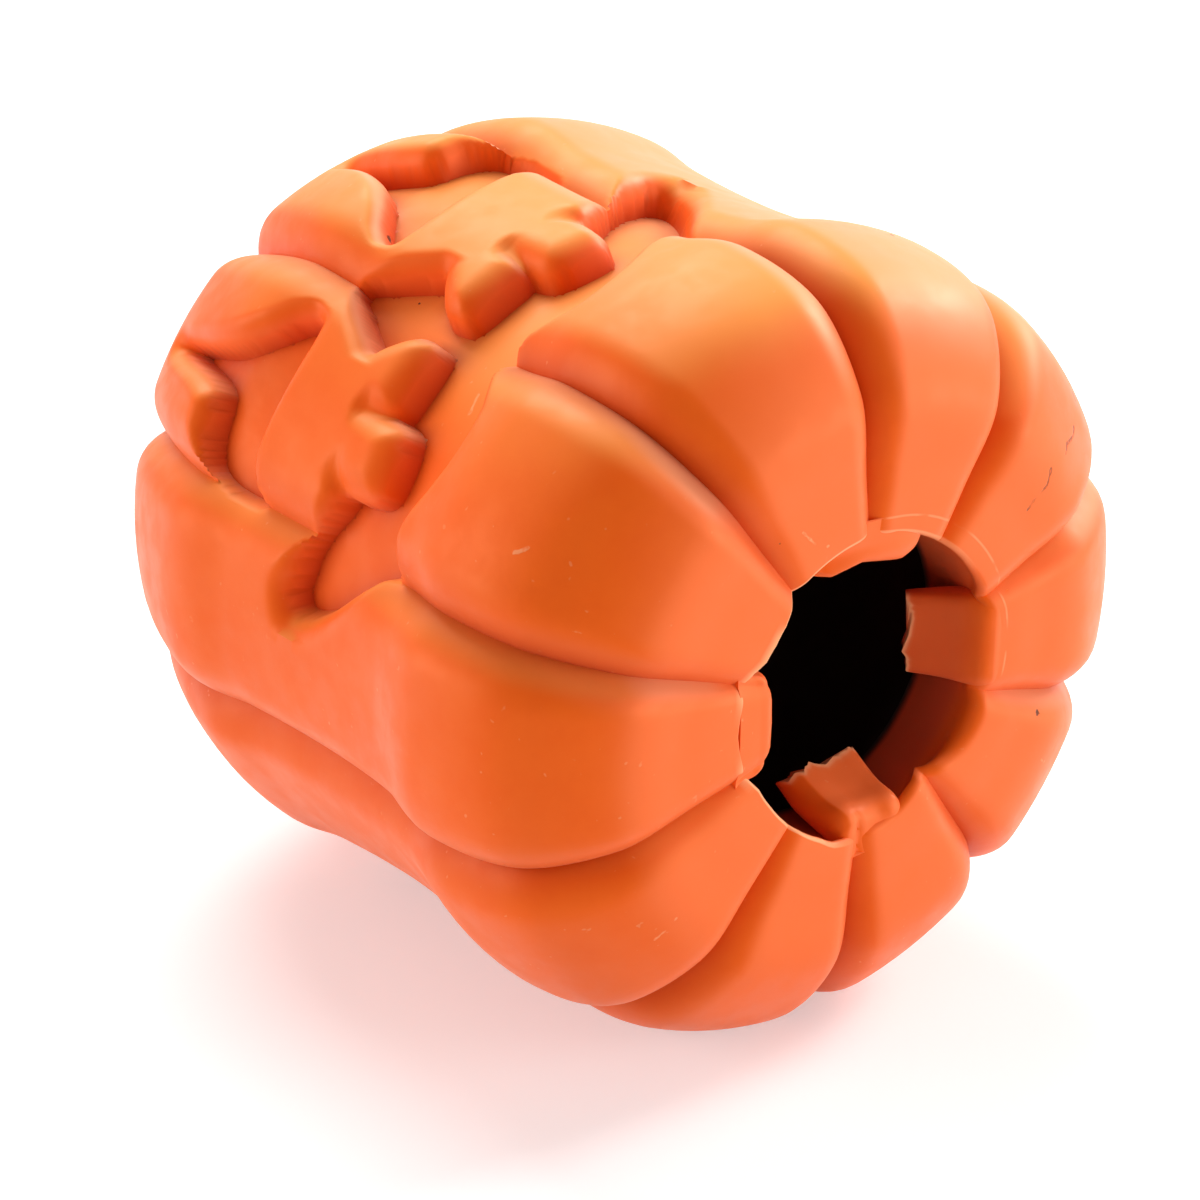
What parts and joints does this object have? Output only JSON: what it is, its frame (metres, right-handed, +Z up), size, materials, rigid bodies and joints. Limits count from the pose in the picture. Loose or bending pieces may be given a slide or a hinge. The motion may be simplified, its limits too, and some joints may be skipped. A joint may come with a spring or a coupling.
{
  "type": "rubber chew toy",
  "caption": "Hollow ribbed rubber chew toy shaped as a carved pumpkin, with flexible tabs across its open end that hold treats in.",
  "frame": {"origin": "middle of the toy's length and width, on the ground that it lies on", "axes": "+Z up from the ground, +Y along the toy's axis from the open end to the stem end, +X to the right as seen from the open end"},
  "size_m": [0.09, 0.0944, 0.0895],
  "materials": {
    "orange_rubber": "matte moulded natural rubber, orange all through"
  },
  "bodies": {
    "shell": {"shell": "orange_rubber"},
    "tab_right": {"tab_right": "orange_rubber"},
    "tab_top": {"tab_top": "orange_rubber"},
    "tab_left": {"tab_left": "orange_rubber"},
    "tab_bottom": {"tab_bottom": "orange_rubber"}
  },
  "joints": [
    {"name": "right_tab_bend", "type": "hinge", "parent": "shell", "child": "tab_right", "pos_m": [0.0166, -0.04366, 0.04474], "axis": [0, 0, 1], "range_deg": [-20, 35], "stiffness_Nm_per_rad": 0.02},
    {"name": "top_tab_bend", "type": "hinge", "parent": "shell", "child": "tab_top", "pos_m": [0, -0.04366, 0.06134], "axis": [-1, 0, 0], "range_deg": [-20, 35], "stiffness_Nm_per_rad": 0.02},
    {"name": "left_tab_bend", "type": "hinge", "parent": "shell", "child": "tab_left", "pos_m": [-0.0166, -0.04366, 0.04474], "axis": [0, 0, -1], "range_deg": [-20, 35], "stiffness_Nm_per_rad": 0.02},
    {"name": "bottom_tab_bend", "type": "hinge", "parent": "shell", "child": "tab_bottom", "pos_m": [0, -0.04366, 0.02814], "axis": [1, 0, 0], "range_deg": [-20, 35], "stiffness_Nm_per_rad": 0.02}
  ]
}
